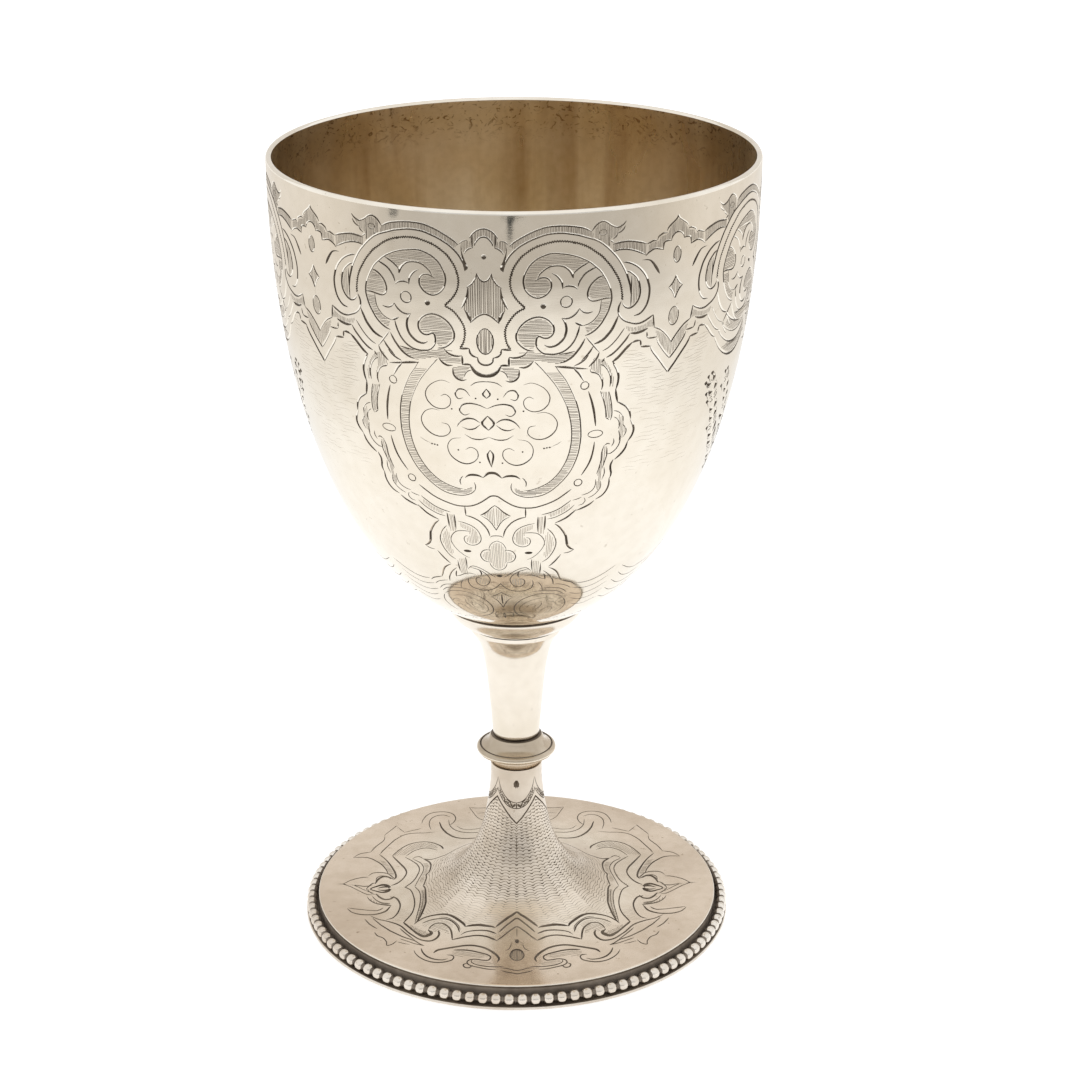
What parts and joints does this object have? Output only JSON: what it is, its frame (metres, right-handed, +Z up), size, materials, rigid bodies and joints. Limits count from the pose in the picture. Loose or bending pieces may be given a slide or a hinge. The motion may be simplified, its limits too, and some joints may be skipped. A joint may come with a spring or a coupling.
{
  "type": "goblet",
  "caption": "Stemmed silver drinking goblet with a deep engraved bowl, gilt inside, a knopped hollow stem and a spreading trumpet foot with a beaded border.",
  "frame": {"origin": "centre of the foot's underside, on the plane that the goblet stands on", "axes": "+Z up along the goblet's axis of symmetry; -Y is the front of the engraved bowl"},
  "size_m": [0.089, 0.089, 0.1529],
  "materials": {
    "bowl_silver": "polished silver with a warm tarnish, engraved outside, worn gilding inside",
    "stem_silver": "softly polished silver, lightly rubbed",
    "knop_silver": "polished silver, darker with tarnish in the grooves",
    "foot_silver": "polished silver with a warm tarnish, engraved and chased",
    "border_silver": "bright beads on dark tarnished silver"
  },
  "bodies": {
    "root": {"bowl": "bowl_silver", "stem_head": "stem_silver", "stem": "stem_silver", "knop": "knop_silver", "foot_collar": "knop_silver", "foot": "foot_silver", "bead_border": "border_silver", "base_ring": "border_silver"}
  },
  "joints": []
}
